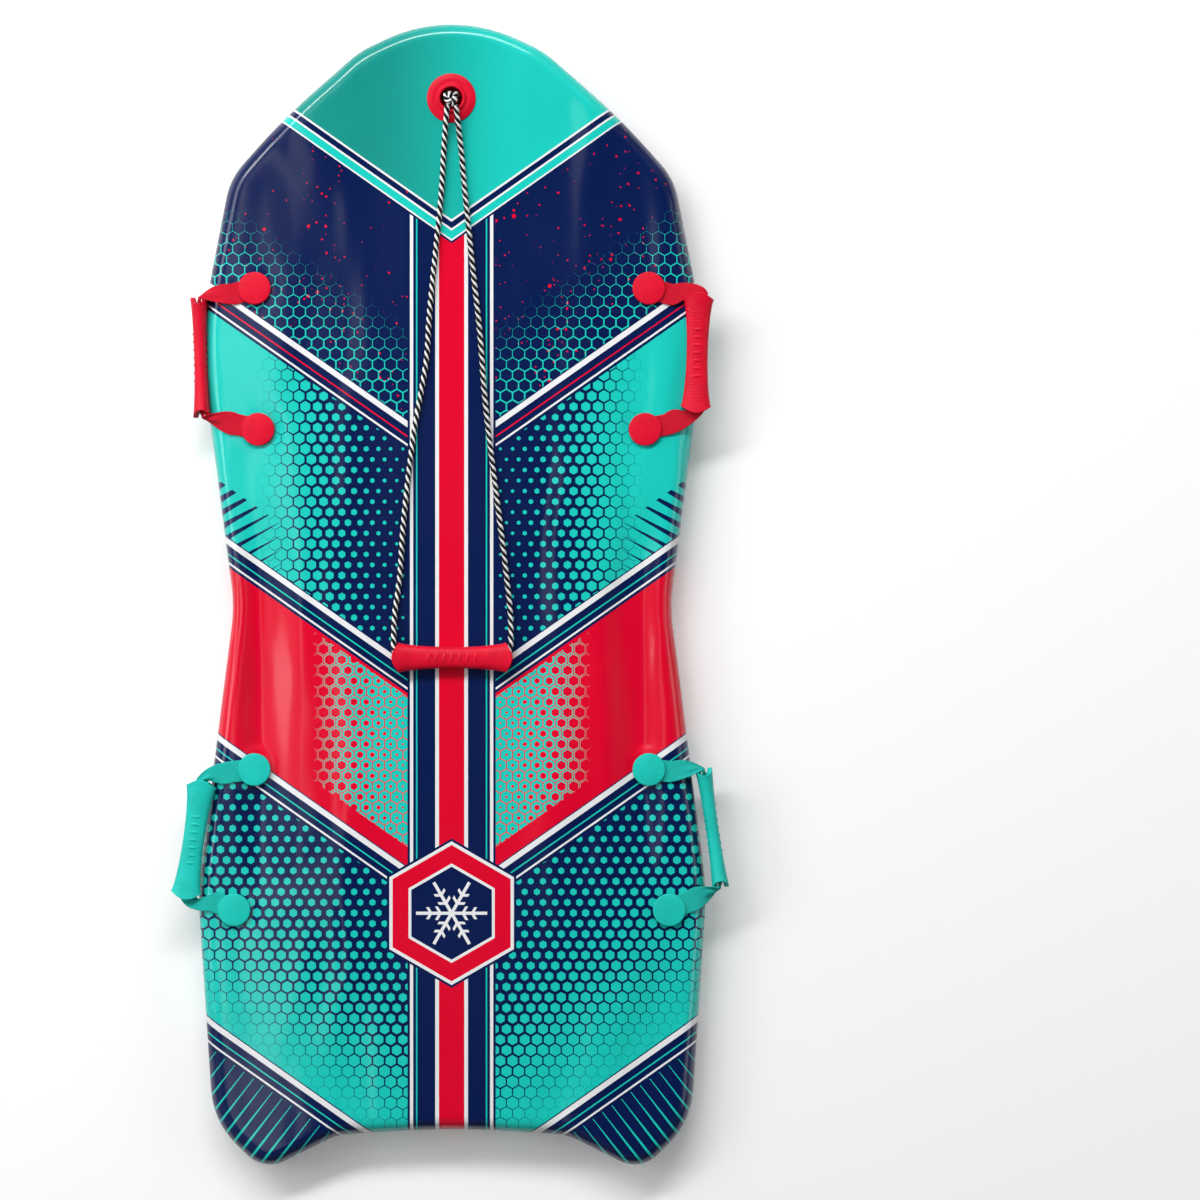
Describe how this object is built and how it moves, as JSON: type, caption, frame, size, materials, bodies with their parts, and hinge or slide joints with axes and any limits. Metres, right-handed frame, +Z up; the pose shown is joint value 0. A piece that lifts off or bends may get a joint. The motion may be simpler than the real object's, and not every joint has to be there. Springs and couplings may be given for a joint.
{
  "type": "foam slider sled",
  "caption": "Waisted foam slider sled with a rising nose, notched tail, side webbing handles on through buttons, and a rope with a pull grip.",
  "frame": {"origin": "on the flat running face under the board, in the middle of its length and width", "axes": "+Y towards the nose, +X towards the rider's right hand when lying face down and head first, +Z up out of the deck"},
  "size_m": [0.5969, 1.2189, 0.0708],
  "materials": {
    "foam": "matte",
    "deck_film": "gloss",
    "slick_sheet": "gloss",
    "teal_moulding": "satin",
    "red_moulding": "satin",
    "teal_webbing": "matte",
    "red_webbing": "matte",
    "rope": "matte"
  },
  "bodies": {
    "board": {"foam_core": "foam", "deck_skin": "deck_film", "slick_base": "slick_sheet", "front_left_fore_button": "red_moulding", "front_left_fore_backing": "red_moulding", "front_left_fore_tab": "red_webbing", "front_left_aft_button": "red_moulding", "front_left_aft_backing": "red_moulding", "front_left_aft_tab": "red_webbing", "front_right_fore_button": "red_moulding", "front_right_fore_backing": "red_moulding", "front_right_fore_tab": "red_webbing", "front_right_aft_button": "red_moulding", "front_right_aft_backing": "red_moulding", "front_right_aft_tab": "red_webbing", "rear_left_fore_button": "teal_moulding", "rear_left_fore_backing": "teal_moulding", "rear_left_fore_tab": "teal_webbing", "rear_left_aft_button": "teal_moulding", "rear_left_aft_backing": "teal_moulding", "rear_left_aft_tab": "teal_webbing", "rear_right_fore_button": "teal_moulding", "rear_right_fore_backing": "teal_moulding", "rear_right_fore_tab": "teal_webbing", "rear_right_aft_button": "teal_moulding", "rear_right_aft_backing": "teal_moulding", "rear_right_aft_tab": "teal_webbing", "rope_plug_top": "red_moulding", "rope_plug_base": "red_moulding", "rope_knot_top": "rope", "rope_knot_below": "rope", "rope_doubled": "rope"},
    "front_left_straps": {"front_left_fore_leg": "red_webbing", "front_left_aft_leg": "red_webbing"},
    "front_left_handle": {"front_left_grip": "red_moulding", "front_left_inner_strap": "red_webbing"},
    "front_right_straps": {"front_right_fore_leg": "red_webbing", "front_right_aft_leg": "red_webbing"},
    "front_right_handle": {"front_right_grip": "red_moulding", "front_right_inner_strap": "red_webbing"},
    "rear_left_straps": {"rear_left_fore_leg": "teal_webbing", "rear_left_aft_leg": "teal_webbing"},
    "rear_left_handle": {"rear_left_grip": "teal_moulding", "rear_left_inner_strap": "teal_webbing"},
    "rear_right_straps": {"rear_right_fore_leg": "teal_webbing", "rear_right_aft_leg": "teal_webbing"},
    "rear_right_handle": {"rear_right_grip": "teal_moulding", "rear_right_inner_strap": "teal_webbing"},
    "pull_line": {"pull_rope": "rope", "pull_grip": "red_moulding"}
  },
  "joints": [
    {"name": "front_left_swing", "type": "hinge", "parent": "board", "child": "front_left_straps", "pos_m": [-0.23299, 0.25316, 0.04913], "axis": [-0.0261, 0.9997, -0.0014], "range_deg": [0, 110]},
    {"name": "front_left_roll", "type": "hinge", "parent": "front_left_straps", "child": "front_left_handle", "pos_m": [-0.26884, 0.25562, 0.03902], "axis": [-0.0261, 0.9997, -0.0014], "range_deg": [0, 45]},
    {"name": "front_right_swing", "type": "hinge", "parent": "board", "child": "front_right_straps", "pos_m": [0.23299, 0.25316, 0.04913], "axis": [-0.0261, -0.9997, 0.0014], "range_deg": [0, 110]},
    {"name": "front_right_roll", "type": "hinge", "parent": "front_right_straps", "child": "front_right_handle", "pos_m": [0.26218, 0.2598, 0.05128], "axis": [0.0261, 0.9997, -0.0014], "range_deg": [0, 45]},
    {"name": "rear_left_swing", "type": "hinge", "parent": "board", "child": "rear_left_straps", "pos_m": [-0.24575, -0.25614, 0.04834], "axis": [0.1431, 0.9897, 0.0088], "range_deg": [0, 110]},
    {"name": "rear_left_roll", "type": "hinge", "parent": "rear_left_straps", "child": "rear_left_handle", "pos_m": [-0.27557, -0.25971, 0.04617], "axis": [-0.1431, -0.9897, -0.0088], "range_deg": [0, 45]},
    {"name": "rear_right_swing", "type": "hinge", "parent": "board", "child": "rear_right_straps", "pos_m": [0.24575, -0.25614, 0.04834], "axis": [0.1431, -0.9897, -0.0088], "range_deg": [0, 110]},
    {"name": "rear_right_roll", "type": "hinge", "parent": "rear_right_straps", "child": "rear_right_handle", "pos_m": [0.27837, -0.24769, 0.03828], "axis": [0.1431, -0.9897, -0.0088], "range_deg": [0, 45]},
    {"name": "pull_rope_swing", "type": "hinge", "parent": "board", "child": "pull_line", "pos_m": [0, 0.53056, 0.06333], "axis": [-1, 0, 0], "range_deg": [0, 120]}
  ]
}
